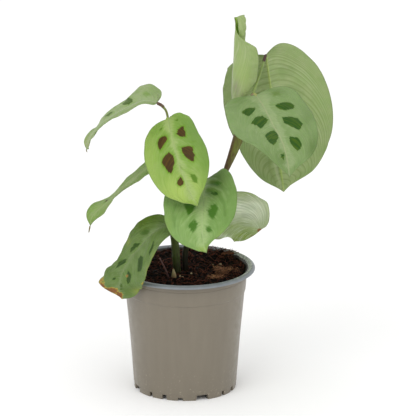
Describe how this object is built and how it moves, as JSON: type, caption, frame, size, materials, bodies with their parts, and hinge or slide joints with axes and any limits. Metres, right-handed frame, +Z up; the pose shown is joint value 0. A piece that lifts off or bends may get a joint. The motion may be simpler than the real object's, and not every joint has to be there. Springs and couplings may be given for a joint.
{
  "type": "potted prayer plant",
  "caption": "Potted prayer plant: oval leaves with dark blotches on thin stalks and a young rolled leaf, standing in a tapered nursery pot with a rolled rim and a notched foot.",
  "frame": {"origin": "centre of the pot's foot on the ground, on the pot's axis", "axes": "+Z up along the pot's axis; the plant's show side faces -Y, and +X is to the right when it is seen from there"},
  "size_m": [0.212, 0.1585, 0.3312],
  "materials": {
    "pot_plastic": "taupe injection-moulded polypropylene, satin, bluish grey rim",
    "soil": "dark brown peat with reddish fibres, rough",
    "coir": "orange-brown coir fibre, rough",
    "bark": "brown dry wood, rough",
    "dark_stem": "dark olive living stem, satin",
    "sheath": "brown-purple leaf sheath, satin",
    "stalk": "green-brown leaf stalk, satin",
    "dry_stalk": "purplish brown dead stalk, dull",
    "bud": "cream bud, satin",
    "leaf_pale": "light green leaf blade with dark blotches, soft sheen",
    "leaf_grey": "grey-green leaf blade with dark blotches, soft sheen",
    "leaf_dark": "darker green leaf blade with blotches and a scorched tip, soft sheen"
  },
  "bodies": {
    "root": {"bark_stick": "bark", "basal_bud": "bud", "coir_clump": "coir", "dry_twig": "dry_stalk", "leaf_big_rear": "leaf_pale", "leaf_centre": "leaf_pale", "leaf_front": "leaf_pale", "leaf_lower_left": "leaf_dark", "leaf_mid_left": "leaf_grey", "leaf_rear_right": "leaf_grey", "leaf_sheath": "sheath", "leaf_top_front": "leaf_grey", "leaf_upper_left": "leaf_grey", "leaf_young_rolled": "leaf_pale", "pot": "pot_plastic", "soil": "soil", "stalk_big_rear": "stalk", "stalk_centre": "stalk", "stalk_front": "stalk", "stalk_lower_left": "stalk", "stalk_mid_left": "stalk", "stalk_rear_right": "stalk", "stalk_top_front": "stalk", "stalk_upper_left": "stalk", "stem_front": "dark_stem", "stem_rear": "dark_stem"}
  },
  "joints": []
}
